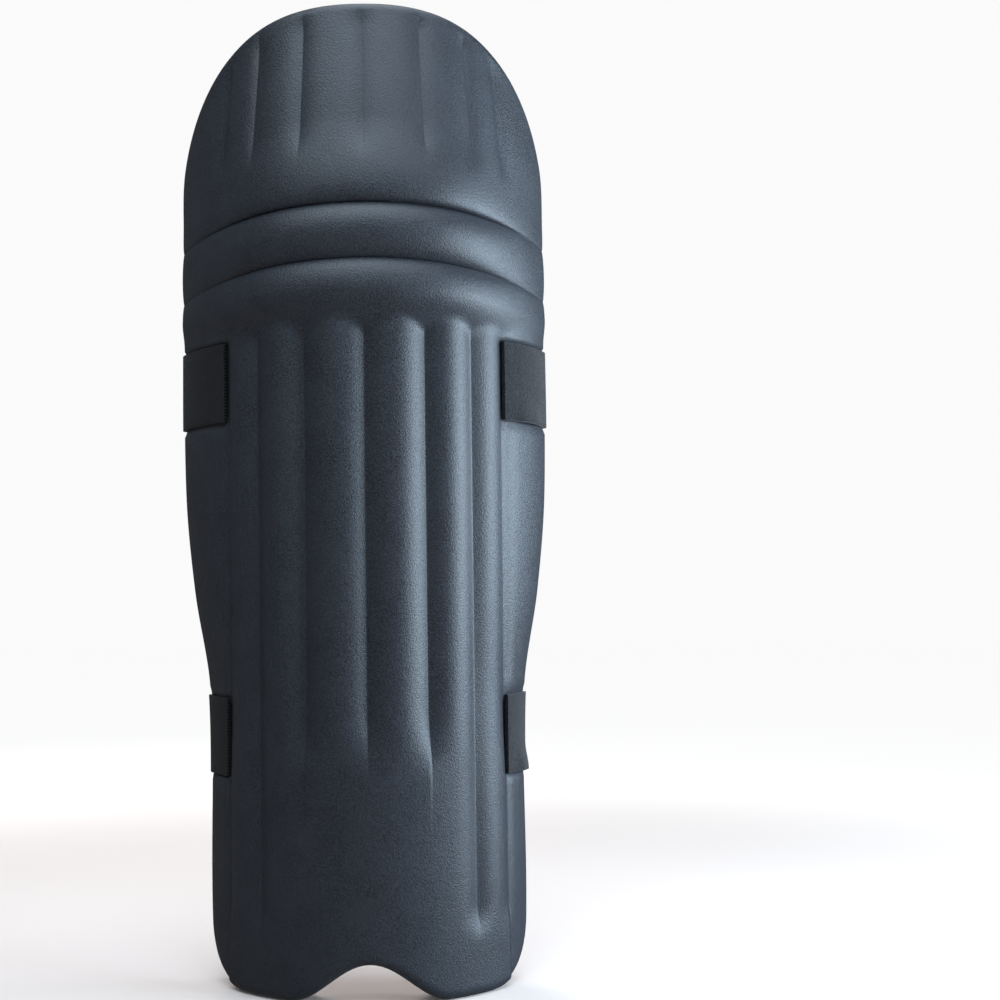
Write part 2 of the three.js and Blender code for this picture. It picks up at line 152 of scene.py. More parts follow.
# Straps, their rings and the webbing that holds the rings
STRAP_WIDTH = 0.050
STRAP_WALL = 0.0025
STRAP_HEIGHTS = {"upper": 0.382, "lower": 0.158}
STRAP_END = 0.0875
STRAP_BOW = 0.004
STRAP_BEVEL = 0.0006
STRAP_SINK = 0.0034
SEAT = {"before": 0.003, "after": 0.001, "margin": 0.0025, "ease": 0.004}
CURL = {"lift": 0.0022, "share": 0.35, "start": (0.008, 0.022), "end": (0.034, 0.05)}
RING = {"width": 0.027, "height": 0.064, "bar": 0.008, "end": 0.006, "wall": 0.004, "round": 0.007,
        "bevel": 0.0014}
BAR_TURN_IN = 0.0005
RING_SET_IN = 0.023
RING_SET_BACK = 0.0115
FOLD_BACK = 0.046
FOLD_SPREAD = 0.007
BAR_TURN = RING["wall"] / 2 + GAP * 1.5 + STRAP_WALL / 2

# Prints and weaves: dots on the knee lining, lattices, the column's black stretch and the webbing's twill
DOTS = {"first": 0.0265, "pitch": 0.0062, "smallest": 0.0012, "largest": 0.0024, "slope": 0.82}
CHANNEL_LATTICE = {"rise_pitch": 0.019, "run_pitch": 0.0114, "width": 0.0020, "lean": math.radians(-32)}
BOLSTER_LATTICE = {"rise_pitch": 0.019, "run_pitch": 0.019, "width": 0.0027, "lean": math.radians(45)}
GUSSET_MESH = {"rise_pitch": 0.0014, "run_pitch": 0.0014, "width": 0.0006, "lean": math.radians(38)}
BLACK_STRETCH = {"foot": (0.157, 0.159), "top": (0.389, 0.391)}
LOZENGE = {"foot": 0.196, "half_pitch": 0.021, "slope": 0.72, "half": (0.0100, 0.0106)}
CHANNEL_PRINT = {"faint": (0.446, 0.40), "foot": (0.135, 0.180)}
TAPE_EDGE = (0.0150, 0.0154)
LABEL_RIM = (0.0012, 0.0017)
TEETH_PITCH = 0.0011
CLOTH_WEAVE = 0.0012
TWILL_PITCH = 0.0020
CLOTH_SHEEN = {"Sheen_Weight": 0.2, "Sheen_Roughness": 0.5}

# Stage: the floor's glow under the pad and far out, the lights and the camera
FLOOR_RADIUS = 7
FLOOR_GLOW = (0.04, 0.95)
FLOOR_FADE = (0.3, 1.4)
SURROUND_GLOW = 0.96
WORLD_GLOW = 0.108
LIGHTS = (
    {"name": "side_window", "at": (1.17, -0.22, 0.38), "aim": (0, -0.01, 0.28), "size": (1.05, 0.8),
     "watts": 37, "colour": (0.68, 0.85, 1.0), "mirrored": True},
    {"name": "top_front", "at": (-0.05, -0.85, 1.55), "aim": (0, 0, 0.5), "size": (1.5, 0.6),
     "watts": 21, "colour": (0.70, 0.86, 1.0), "mirrored": True},
    {"name": "overhead", "at": (0.1, -0.05, 1.95), "aim": (0, 0, 0.4), "size": (1.2, 1.0),
     "watts": 17, "colour": (0.82, 0.92, 1.0), "mirrored": True},
    {"name": "back_fill", "at": (-0.5, 1.3, 0.9), "aim": (0, 0.02, 0.3), "size": (1.0, 1.0),
     "watts": 16, "colour": (1, 0.99, 0.97), "mirrored": False},
)
CAMERA = {"distance": 0.8935, "height": 0.2471, "sensor": 36, "lens": 53.98, "tilt": 3.62, "roll": -0.575,
          "shift": 0.1345}

# Half-width and front line of the shell, from the floor up
SECTIONS = {
    "z": (0.0, 0.060, 0.185, 0.250, 0.315, 0.430, 0.500, 0.618),
    "half": (0.1000, 0.1010, 0.1013, 0.1118, 0.1178, 0.1182, 0.1176, 0.1160),
    "front": (0.0030, 0.0, -0.0035, -0.0053, -0.0072, -0.0105, -0.0100, 0.0060),
}

# Edges of the linings: the side bolster's inner edge and outer angle, the centre column's half-width
LINING_EDGES = {
    "z": (0.0, 0.080, 0.160, 0.250, 0.330, 0.400, 0.447, 0.490, 0.512, 0.526, 0.547),
    "inner": (0.046, 0.046, 0.051, 0.058, 0.062, 0.062, 0.062, 0.066, 0.078, 0.0885, 0.0930),
    "outer": (60.0, 61.0, 63.0, 66.0, 67.0, 67.0, 67.0, 67.0, 67.0, 66.0, 60.5),
    "column": (0.026, 0.025, 0.023, 0.022, 0.022, 0.025, 0.031, 0.031, 0.031, 0.031, 0.031),
}


# Small sums
def lerp(a, b, share):
    return a + (b - a) * share


def smoothstep(x, low, high):
    t = np.clip((x - low) / (high - low), 0, 1)
    return t * t * (3 - 2 * t)


def even(count):
    return np.linspace(0, 1, count + 1)


def ease(count):
    return (1 - np.cos(np.pi * even(count))) / 2


def eased_ends(count, share, middle):
    """Shares of a long way, even in the middle and closer together towards both ends."""
    end = ease(count)[:count // 2] * share
    return np.concatenate((end, np.linspace(share / 2, 1 - share / 2, middle + 1), 1 - end[::-1]))


def hump(share):
    return np.sqrt(np.maximum(0, 1 - (2 * np.clip(share, 0, 1) - 1) ** 2))


def to_edge(share):
    return np.minimum(share, 1 - share)


def swell(share, turn):
    """A pad's rise away from its edges: quarter-round over the turn, then level."""
    near = np.clip(to_edge(share) / turn, 0, 1)
    return np.sqrt(np.maximum(0, 1 - (1 - near) ** 2))


def soft_max(a, b, ease_over):
    """The higher of two levels, with the corner where they meet rounded."""
    gap = np.clip(0.5 + (a - b) / (2 * ease_over), 0, 1)
    return lerp(b, a, gap) + ease_over * gap * (1 - gap)


def read(table, column, z):
    """Smooth curve through a table's column, read at the heights z."""
    heights, values = np.array(table["z"]), np.array(table[column])
    last = len(heights) - 1
    before = np.maximum(np.arange(last + 1) - 1, 0)
    after = np.minimum(np.arange(last + 1) + 1, last)
    slopes = (values[after] - values[before]) / (heights[after] - heights[before])
    at = np.clip(z, heights[0], heights[-1])
    k = np.clip(np.searchsorted(heights, at, side="right") - 1, 0, last - 1)
    step = heights[k + 1] - heights[k]
    t = (at - heights[k]) / step
    lead = t * (1 - t) ** 2 * slopes[k] * step
    trail = t * t * (t - 1) * slopes[k + 1] * step
    return values[k] + t * t * (3 - 2 * t) * (values[k + 1] - values[k]) + lead + trail


# The shell's section is an arc round the leg: angle from the middle, height, and depth inside its face
def radius(z):
    return read(SECTIONS, "half", z) / math.sin(WRAP)


def section_point(angle, z, inset):
    """Plan place of a point, before the pad is set behind its origin."""
    r = radius(z)
    return (r - inset) * np.sin(angle), read(SECTIONS, "front", z) + r - (r - inset) * np.cos(angle)


def ring_centre(z):
    x, y = section_point(WRAP, z, 0)
    return np.array((-(x - RING_SET_IN), y + RING_SET_BACK))


# The upper ring's place tells how far the arc's own origin lies behind the pad's
RING_LOW, RING_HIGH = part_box("ring_upper")
SET_BACK = (RING_LOW.y + RING_HIGH.y) / 2 - ring_centre(STRAP_HEIGHTS["upper"])[1]


def place(angle, z, inset):
    angle, z, inset = np.broadcast_arrays(angle, z, inset)
    x, y = section_point(angle, z, inset)
    return np.stack((x, y + SET_BACK, z), axis=-1)


def across(angle):
    """Share of the way from the middle of the pad to its edge, across the front."""
    return np.minimum(1, np.abs(np.sin(angle)) / math.sin(WRAP))


def dome_top(angle, top, reach):
    share = np.minimum(1, np.abs(np.sin(angle)) / math.sin(reach))
    return SHOULDER + (top - SHOULDER) * (1 - share**DOME_POWER) ** (1 / DOME_POWER)


def foot_edge(angle):
    run = radius(0) * np.abs(angle)
    notch = NOTCH_RISE * np.cos(np.pi * np.minimum(run, NOTCH_HALF) / (2 * NOTCH_HALF)) ** 2
    past = np.clip((run - radius(0) * WRAP + CORNER_RUN) / CORNER_RUN, 0, 1)
    corner = CORNER_RISE * (1 - np.sqrt(1 - past * past))
    return np.where(run < NOTCH_HALF, notch, corner)


# Modelling moves
def start(add, name, **sizes):
    """Adds a primitive with nothing else selected, and names it."""
    bpy.ops.object.select_all(action="DESELECT")
    add(**sizes)
    piece = bpy.context.object
    piece.name = name
    piece.data.name = name
    return piece


def hold(piece):
    """Makes a piece the only one that is selected."""
    bpy.ops.object.select_all(action="DESELECT")
    piece.select_set(True)
    bpy.context.view_layer.objects.active = piece


def modify(piece, kind, **settings):
    """Adds a modifier to a piece, sets it and applies it."""
    hold(piece)
    modifier = piece.modifiers.new(kind.title(), kind)
    for key, value in settings.items():
        setattr(modifier, key, value)
    bpy.ops.object.modifier_apply(modifier=modifier.name)


def points(piece):
    flat = np.empty(len(piece.data.vertices) * 3, np.float32)
    piece.data.vertices.foreach_get("co", flat)
    return flat.reshape(-1, 3).astype(float)


def move(piece, places):
    piece.data.vertices.foreach_set("co", np.asarray(places, np.float32).ravel())
    piece.data.update()


def select(piece, kind, wanted):
    """Selects the faces or edges of a piece that pass a test, and stays in edit mode."""
    hold(piece)
    bpy.ops.object.mode_set(mode="EDIT")
    bpy.ops.mesh.select_mode(type=kind)
    bpy.ops.mesh.select_all(action="DESELECT")
    bpy.ops.object.mode_set(mode="OBJECT")
    for part in piece.data.polygons if kind == "FACE" else piece.data.edges:
        part.select = bool(wanted(part))
    bpy.ops.object.mode_set(mode="EDIT")


def flat_sheet(name, columns, rows):
    """A flat grid, and the column and row that each of its points is in."""
    grid = bpy.ops.mesh.primitive_grid_add
    piece = start(grid, name, x_subdivisions=columns, y_subdivisions=rows, size=1)
    at = np.rint((points(piece)[:, :2] + 0.5) * (columns, rows)).astype(int)
    return piece, at[:, 0], at[:, 1]


def set_cut(piece, u, v):
    """Lays the piece's UV map out as its flat cut, in metres."""
    mesh = piece.data
    corner = np.empty(len(mesh.loops), np.int32)
    mesh.loops.foreach_get("vertex_index", corner)
    uv = np.stack((u[corner], v[corner]), axis=-1)
    mesh.uv_layers.active.data.foreach_set("uv", uv.astype(np.float32).ravel())


def mark(piece, name, values):
    """Keeps a value for each point, which the piece's finish reads."""
    layer = piece.data.attributes.new(name, "FLOAT", "POINT")
    layer.data.foreach_set("value", np.asarray(values, np.float32))


def thicken(piece, face, back):
    """Closes a moulded sheet into a solid with two layers of points."""
    move(piece, face)
    modify(piece, "SOLIDIFY", thickness=CLOTH, offset=-1)
    move(piece, np.concatenate((face, back)))


def smooth(piece, sharp_over=math.radians(50)):
    hold(piece)
    bpy.ops.object.shade_smooth_by_angle(angle=sharp_over)


def finish_pad(piece, finish, node):
    """Smooths a swelled pad and dresses it."""
    modify(piece, "SUBSURF", levels=1, render_levels=1)
    smooth(piece)
    dress(piece, finish, node)


def round_edges(piece, width, segments, sharp_over):
    modify(piece, "BEVEL", width=width, segments=segments, limit_method="ANGLE", angle_limit=sharp_over)
    smooth(piece)


def dress(piece, finish, node):
    """Gives a finished piece its material and its place on the pad."""
    piece.data.materials.clear()
    piece.data.materials.append(finish)
    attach(piece, "root")
    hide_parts(node)


def plump(piece, sewn, cap):
    """Swells a padded piece by cloth simulation, held where it is sewn down."""
    rest = points(piece)
    group = piece.vertex_groups.new(name="sewn")
    group.add([int(k) for k in np.flatnonzero(sewn)], 1.0, "REPLACE")
    hold(piece)
    cloth = piece.modifiers.new("Cloth", "CLOTH")
    cloth.settings.vertex_group_mass = "sewn"
    cloth.settings.effector_weights.gravity = 0
    for key, value in PLUMP.items():
        setattr(cloth.settings, key, value)
    for step in range(1, PLUMP_STEPS + 1):
        bpy.context.scene.frame_set(step)
    bpy.ops.object.modifier_apply(modifier=cloth.name)
    moved = points(piece) - rest
    far = np.linalg.norm(moved, axis=1, keepdims=True)
    move(piece, rest + moved * np.minimum(1, cap / np.maximum(far, 1e-9)))
    piece.vertex_groups.clear()
    bpy.context.scene.frame_set(1)


# Finishes, built from nodes
class Finish:
    """A procedural material: its shader, and short ways to add nodes to it."""

    def __init__(self, name, colour, roughness, **sockets):
        self.material = bpy.data.materials.new(name)
        self.material.use_nodes = True
        self.tree = self.material.node_tree
        self.shader = self.tree.nodes["Principled BSDF"]
        self.shader.inputs["Base Color"].default_value = (*colour, 1)
        self.shader.inputs["Roughness"].default_value = roughness
        for socket, value in sockets.items():
            self.shader.inputs[socket.replace("_", " ")].default_value = value

    def join(self, value, socket):
        """Sets a socket from another socket, a number or a colour."""
        if isinstance(value, bpy.types.NodeSocket):
            self.tree.links.new(value, socket)
        elif isinstance(value, tuple) and len(value) == 3 and socket.type == "RGBA":
            socket.default_value = (*value, 1)
        else:
            socket.default_value = value

    def node(self, kind, **settings):
        node = self.tree.nodes.new(f"ShaderNode{kind}")
        for key, value in settings.items():
            setattr(node, key, value)
        return node

    def add(self, kind, output=0, **inputs):
        node = self.node(kind)
        for name, value in inputs.items():
            self.join(value, node.inputs[name.replace("_", " ")])
        return node.outputs[output]

    def sum(self, operation, *terms):
        node = self.node("Math", operation=operation)
        for term, socket in zip(terms, node.inputs):
            self.join(term, socket)
        return node.outputs[0]

    def plus(self, a, b):
        return self.sum("ADD", a, b)

    def times(self, a, b):
        return self.sum("MULTIPLY", a, b)

    def mix(self, share, first, second):
        node = self.node("Mix", data_type="RGBA")
        self.join(share, node.inputs["Factor"])
        self.join(first, node.inputs[6])
        self.join(second, node.inputs[7])
        return node.outputs[2]

    def step(self, value, low, high, start=0.0, end=1.0):
        node = self.node("MapRange", interpolation_type="SMOOTHSTEP")
        for k, term in enumerate((value, low, high, start, end)):
            self.join(term, node.inputs[k])
        return node.outputs[0]

    def spot(self):
        return self.add("TexCoord", output=3)

    def cut(self):
        """Both sides of the flat cut's measure, in metres."""
        node = self.node("SeparateXYZ")
        self.join(self.add("TexCoord", output=2), node.inputs[0])
        return node.outputs[0], node.outputs[1]

    def kept(self, name):
        return self.node("Attribute", attribute_name=name).outputs["Fac"]

    def noise(self, scale, detail=2.0, roughness=0.5):
        grain = {"Scale": scale, "Detail": detail, "Roughness": roughness}
        return self.add("TexNoise", Vector=self.spot(), **grain)

    def mottle(self, scale, first, second):
        """Two tones that run into each other in fine spots."""
        return self.mix(self.noise(scale, 3), first, second)

    def lead(self, socket, name):
        self.tree.links.new(socket, self.shader.inputs[name])

    def colour(self, socket):
        self.lead(socket, "Base Color")

    def rough(self, socket):
        self.lead(socket, "Roughness")

    def bump(self, height, depth, strength=1.0):
        self.lead(self.add("Bump", Height=height, Distance=depth, Strength=strength), "Normal")

    def lines(self, along, pitch, width, soft=0.0002):
        """Lines of a width, one every pitch along a measure."""
        off = self.sum("PINGPONG", along, pitch / 2)
        return self.step(off, width / 2 - soft, width / 2 + soft, 1.0, 0.0)

    def share(self, u, of_u, v, of_v):
        return self.plus(self.times(u, of_u), self.times(v, of_v))

    def lattice(self, u, v, rise_pitch, run_pitch, width, lean):
        """Two families of lines that cross, the first leaning by an angle from level."""
        rise = self.share(u, -math.sin(lean), v, math.cos(lean))
        run = self.share(u, math.cos(lean), v, math.sin(lean))
        return self.sum("MAXIMUM", self.lines(rise, rise_pitch, width), self.lines(run, run_pitch, width))

    def weave(self, u, v, pitch):
        """Height of a plain weave: threads that pass over and under each other."""
        warp = self.sum("SINE", self.times(u, 2 * math.pi / pitch))
        weft = self.sum("SINE", self.times(v, 2 * math.pi / pitch))
        return self.times(warp, weft)

    def cloth(self, u, v):
        """Height of a fine printed cloth."""
        return self.plus(self.weave(u, v, CLOTH_WEAVE), self.noise(420))


def foam_finish():
    f = Finish("moulded_foam", (0.03, 0.031, 0.035), 0.5, Specular_IOR_Level=0.42)
    fine = f.noise(1100, 3, 0.6)
    cloudy = f.noise(38, 3, 0.55)
    tone = f.mix(f.step(cloudy, 0.3, 0.7), (0.0120, 0.0136, 0.0172), (0.018, 0.0204, 0.026))
    f.colour(f.mix(f.step(fine, 0.35, 0.7), tone, (0.029, 0.033, 0.042)))
    f.rough(f.step(fine, 0.3, 0.7, 0.32, 0.50))
    grain = f.plus(f.times(fine, 0.9), f.times(f.noise(700, 2), 0.5))
    f.bump(grain, 0.0006, 0.5)
    return f.material


def black_cloth_finish():
    f = Finish("black_laminated_cloth", (0.008, 0.008, 0.0095), 0.7, Sheen_Weight=0.15, Sheen_Roughness=0.5)
    u, v = f.cut()
    f.colour(f.mottle(260, (0.005, 0.005, 0.0065), (0.014, 0.0135, 0.016)))
    f.bump(f.plus(f.weave(u, v, 0.0011), f.noise(500)), 0.00025, 0.4)
    return f.material


def knee_finish():
    f = Finish("dotted_knee_cloth", (0.012, 0.012, 0.014), 0.75, **CLOTH_SHEEN)
    u, v = f.cut()
    out = f.sum("ABSOLUTE", u)
    first, pitch = DOTS["first"], DOTS["pitch"]
    dot_out = f.plus(f.sum("SNAP", f.sum("SUBTRACT", out, first - pitch / 2), pitch), first)
    dot_up = f.sum("SNAP", f.plus(v, pitch / 2), pitch)
    off = f.sum("PINGPONG", f.sum("SUBTRACT", out, first), pitch / 2)
    up = f.sum("PINGPONG", v, pitch / 2)
    far = f.sum("SQRT", f.plus(f.times(off, off), f.times(up, up)))
    size = f.step(dot_out, 0.02, 0.10, DOTS["smallest"], DOTS["largest"])
    dot = f.step(f.sum("SUBTRACT", size, far), -0.0002, 0.0003)
    tip = f.plus(f.times(f.sum("SUBTRACT", dot_up, KNEE_FOOT), DOTS["slope"]), first)
    off_strip = f.step(dot_out, first - 0.004, first - 0.003)
    inside = f.times(off_strip, f.step(f.sum("SUBTRACT", tip, dot_out), 0.0, 0.0005))
    base = f.mottle(300, (0.008, 0.008, 0.010), (0.016, 0.016, 0.018))
    printed = f.mix(f.times(dot, inside), base, (0.30, 0.31, 0.335))
    f.colour(f.mix(f.step(f.kept("flank"), -0.0003, 0.0003), (0.78, 0.78, 0.80), printed))
    f.bump(f.cloth(u, v), 0.0003, 0.45)
    return f.material


def channel_finish():
    f = Finish("lattice_channel_cloth", (0.012, 0.012, 0.014), 0.75, **CLOTH_SHEEN)
    u, v = f.cut()
    out = f.sum("ABSOLUTE", u)
    lattice = f.lattice(out, v, **CHANNEL_LATTICE)
    dark = f.mottle(300, (0.008, 0.008, 0.010), (0.015, 0.015, 0.018))
    strength = f.step(v, *CHANNEL_PRINT["faint"], 0.08, 1.0)
    upper = f.mix(f.times(lattice, strength), dark, (0.115, 0.125, 0.175))
    lower = f.mottle(300, (0.115, 0.12, 0.165), (0.15, 0.155, 0.21))
    f.colour(f.mix(f.step(v, *CHANNEL_PRINT["foot"]), lower, upper))
    f.bump(f.cloth(u, v), 0.0003, 0.45)
    return f.material


def column_finish():
    f = Finish("column_cloth", (0.6, 0.6, 0.63), 0.75, **CLOTH_SHEEN)
    u, v = f.cut()
    white = f.mottle(350, (0.55, 0.55, 0.585), (0.66, 0.66, 0.69))
    pale = f.mottle(350, (0.46, 0.45, 0.465), (0.56, 0.55, 0.57))
    black = f.mottle(350, (0.008, 0.008, 0.010), (0.016, 0.016, 0.019))
    up = f.sum("PINGPONG", f.sum("SUBTRACT", v, LOZENGE["foot"]), LOZENGE["half_pitch"])
    tall = f.times(up, LOZENGE["slope"])
    lozenge = f.step(f.plus(tall, f.sum("ABSOLUTE", u)), *LOZENGE["half"], 1.0, 0.0)
    printed = f.mix(lozenge, black, (0.52, 0.52, 0.54))
    lower = f.mix(f.step(v, *BLACK_STRETCH["foot"]), pale, printed)
    f.colour(f.mix(f.step(v, *BLACK_STRETCH["top"]), lower, white))
    f.bump(f.cloth(u, v), 0.0003, 0.45)
    return f.material


def bolster_finish():
    f = Finish("lattice_bolster_cloth", (0.25, 0.25, 0.31), 0.75, **CLOTH_SHEEN)
    u, v = f.cut()
    lattice = f.lattice(u, v, **BOLSTER_LATTICE)
    grey = f.mottle(320, (0.205, 0.205, 0.275), (0.265, 0.265, 0.345))
    white = f.mottle(350, (0.76, 0.755, 0.78), (0.86, 0.855, 0.88))
    tape = f.step(f.kept("from_inner"), *TAPE_EDGE, 1.0, 0.0)
    face = f.mix(f.sum("MAXIMUM", lattice, tape), grey, white)
    holes = f.lattice(u, v, **GUSSET_MESH)
    mesh = f.mix(holes, (0.74, 0.74, 0.76), (0.86, 0.86, 0.87))
    saw = f.sum("SUBTRACT", f.sum("PINGPONG", v, TEETH_PITCH), TEETH_PITCH / 2)
    teeth = f.times(saw, 0.8)
    gusset = f.step(f.plus(f.kept("past_seam"), teeth), -0.0002, 0.0002)
    f.colour(f.mix(gusset, face, mesh))
    netting = f.times(holes, f.times(gusset, 1.6))
    f.bump(f.plus(f.cloth(u, v), netting), 0.00035, 0.5)
    return f.material


def label_finish():
    f = Finish("silver_patch", (0.30, 0.32, 0.36), 0.42, Metallic=0.25)
    u, v = f.cut()
    rim = f.step(f.kept("from_edge"), *LABEL_RIM)
    satin = f.mottle(700, (0.29, 0.31, 0.35), (0.37, 0.39, 0.43))
    f.colour(f.mix(rim, (0.20, 0.21, 0.24), satin))
    f.bump(f.weave(u, v, 0.0009), 0.0002, 0.5)
    return f.material


def pile_finish():
    f = Finish(
        "brushed_strap_pile", (0.012, 0.0125, 0.0145), 0.95,
        Sheen_Weight=0.2, Sheen_Roughness=0.4, Specular_IOR_Level=0.15,
    )
    u, v = f.cut()
    loops = f.noise(900, 4, 0.65)
    twill = f.lines(f.plus(u, v), TWILL_PITCH, TWILL_PITCH / 2)
    # At the fold the strap's bare twill shows. Its colour is lighter than the webbing's own threads: a
    # painted highlight on the threads where the strap turns round the ring's bar.
    fold_twill_and_highlight = f.times(f.step(f.kept("at_fold"), 0.3, 0.7), twill)
    fuzz = f.mix(f.step(loops, 0.38, 0.72), (0.005, 0.0052, 0.006), (0.027, 0.029, 0.0345))
    f.colour(f.mix(fold_twill_and_highlight, fuzz, (0.11, 0.118, 0.135)))
    f.bump(f.plus(loops, f.times(fold_twill_and_highlight, 0.8)), 0.0008, 0.7)
    return f.material


def webbing_finish():
    f = Finish("twill_webbing", (0.012, 0.012, 0.013), 0.75, Sheen_Weight=0.04, Specular_IOR_Level=0.15)
    u, v = f.cut()
    twill = f.lines(f.plus(u, v), TWILL_PITCH, TWILL_PITCH / 2)
    thread = f.mix(f.noise(800, 2), (0.010, 0.0105, 0.012), (0.024, 0.0255, 0.0295))
    f.colour(f.mix(twill, (0.004, 0.004, 0.0045), thread))
    f.bump(twill, 0.0005, 0.7)
    return f.material


def plastic_finish():
    f = Finish("white_ring_plastic", (0.83, 0.83, 0.81), 0.32, Coat_Weight=0.15, Coat_Roughness=0.25)
    f.colour(f.mottle(140, (0.80, 0.80, 0.775), (0.87, 0.87, 0.855)))
    f.rough(f.step(f.noise(500, 2), 0.3, 0.7, 0.28, 0.4))
    f.bump(f.noise(600, 2), 0.0001, 0.25)
    return f.material


# The moulded shell
def groove_depth(groove, z):
    """Share of its full depth that each groove has at the heights z."""
    foot = np.where(groove < SHORT_LANES, RIB_FOOT, WING_FOOT)
    ease_over = np.where(groove < SHORT_LANES, GROOVE_FADE, RIB_EASE)
    last = lerp(LAST_GROOVE_SHARE, 1, smoothstep(z, RIB_FOOT, RIB_FOOT + GROOVE_FADE))
    full = np.where(groove == len(GROOVES) - 1, last, 1)
    return full * smoothstep(z, foot, foot + ease_over)


def groove_side(wing, share):
    """1 at a groove, falling to 0 on the rib's crest or out on the wing."""
    return np.where(wing, np.maximum(0, 1 - share * WING_TURN), np.abs(2 * share - 1))


def shin_level(lane, share, z):
    """Rounded ribs between the grooves, over the instep's plain level."""
    wing = lane == len(GROOVES) - 1
    crest = np.array((*RIB_HEIGHTS, WING_LEVEL))[lane]
    plain = np.where(wing, WING_LEVEL, INSTEP_LEVEL)
    level = lerp(plain, crest, smoothstep(z, RIB_FOOT - GROOVE_FADE, RIB_FOOT + GROOVE_FADE))
    edge = groove_side(wing, share)
    groove = np.where(wing | (share < 0.5), lane, lane + 1)
    return level * (1 - edge**2 * groove_depth(groove, z))


def relief(lane, share, angle, z, edge):
    """How far the moulded face stands out of the plain arc."""
    wing = lane == len(GROOVES) - 1
    drop = CREASE_DROP * across(angle) ** 2
    low, high, band = CREASE_LOW - drop, CREASE_HIGH - drop, BAND_TOP - drop
    fade = lerp(1, ROLL_SIDE_SHARE, smoothstep(across(angle), ROLL_FADE_START, 1))
    crease = lerp(CREASE_LEVEL, CREASE_SIDE_LEVEL, smoothstep(across(angle), CREASE_SIDE_START, 1))

    def roll(share):
        return fade * lerp(crease, ROLL_HEIGHT, hump(share) ** ROLL_POWER)

    def band_rise(share):
        left = 1 - np.clip(share, 0, 1)
        return lerp(crease, BAND_HEIGHT, (1 - left**BAND_POWER) ** (1 / BAND_POWER))

    half_up = (RIB_TOP + low) / 2
    lift = fade * ROLL_HEIGHT * smoothstep(z, ROLL_FOOT, half_up) ** ROLL_FOOT_POWER
    lower = np.where(z < half_up, lift, roll((z - RIB_TOP) / (low - RIB_TOP)))
    climb = (z - high) / (BAND_TOP - CREASE_HIGH)
    begun = smoothstep(z, band + DOME_RIB_START["from"], band + DOME_RIB_START["to"])
    dome_rib = groove_side(wing, share) ** DOME_RIB_POWER
    dome_rib = dome_rib * begun * smoothstep(edge, 0.0, DOME_RIB_CLEAR)
    dome_fade = lerp(1, DOME_SIDE_SHARE, smoothstep(across(angle), ROLL_FADE_START, 1))
    dome = DOME_LEVEL * dome_fade + DOME_RIB * (1 - dome_rib)
    over = smoothstep(climb, *BAND_BLEND)
    upper = lerp(fade * band_rise(2 * climb), dome, over)
    knee = np.where(z < low, lower, np.where(z < high, roll((z - low) / (high - low)), upper))
    shin = shin_level(lane, share, z) * (1 - smoothstep(z, half_up, low))
    return soft_max(shin, knee, MEET_EASE)


def strap_seat(angle, z):
    """Depth to which the straps and their webbing press into the shell's wings."""
    run = radius(z) * np.abs(np.sin(angle))
    out = smoothstep(run, STRAP_END - SEAT["before"], STRAP_END + SEAT["after"])
    half = STRAP_WIDTH / 2 + SEAT["margin"]
    near = [half - np.abs(z - middle) for middle in STRAP_HEIGHTS.values()]
    return STRAP_SINK * out * smoothstep(np.maximum(*near), 0, SEAT["ease"])


def shell_outline():
    """The shell's edges on its own chart, arc length across and height: top, foot and both sides."""
    t = np.linspace(-1, 1, OUTLINE_STEPS)
    angle = WRAP * np.sign(t) * (1 - (1 - np.abs(t)) ** OUTLINE_CROWD)
    top = dome_top(angle, HEIGHT, WRAP)
    foot = foot_edge(angle)
    rise = np.linspace(CORNER_RISE, SHOULDER, OUTLINE_STEPS)
    sides = [np.stack((side * radius(rise) * WRAP, rise), -1) for side in (-1, 1)]
    return [np.stack((radius(top) * angle, top), -1), np.stack((radius(foot) * angle, foot), -1), *sides]


def from_outline(edges, angle, z):
    """Distance of each point from the nearest of some edges on the chart, along the face."""
    here = np.stack((radius(z) * angle, z), -1)
    begin = np.concatenate([edge[:-1] for edge in edges])
    way = np.concatenate([np.diff(edge, axis=0) for edge in edges])
    length = np.maximum((way**2).sum(1), 1e-12)

    def nearest(spot):
        share = np.clip(((spot - begin) * way).sum(1) / length, 0, 1)
        return math.sqrt(((begin + way * share[:, None] - spot) ** 2).sum(1).min())

    return np.array([nearest(spot) for spot in here])


def turn_in(distance, round_over):
    """Depth of a quarter-round edge at a distance from it."""
    near = np.clip(1 - distance / round_over, 0, 1)
    return round_over * (1 - np.sqrt(1 - near * near))


def shell_columns():
    """Lane and share of each column on the pad's right half, closer together at grooves and rim."""
    lanes = [(k, share) for k, count in enumerate(LANE_STEPS) for share in ease(count)[:-1]]
    wing = 1 - (1 - even(WING_STEPS)) ** WING_CROWD
    return lanes + [(len(LANE_STEPS), share) for share in wing]


def column_angle(lane, share, z):
    """Angle of a column at the heights z. The grooves draw together towards the top of the dome."""
    gather = lerp(1, DOME_GATHER, smoothstep(z, SHOULDER, HEIGHT)) / radius(z)
    inner = np.arcsin(GROOVES[lane] * gather)
    outer = WRAP if lane == len(LANE_STEPS) else np.arcsin(GROOVES[lane + 1] * gather)
    return lerp(inner, outer, share)


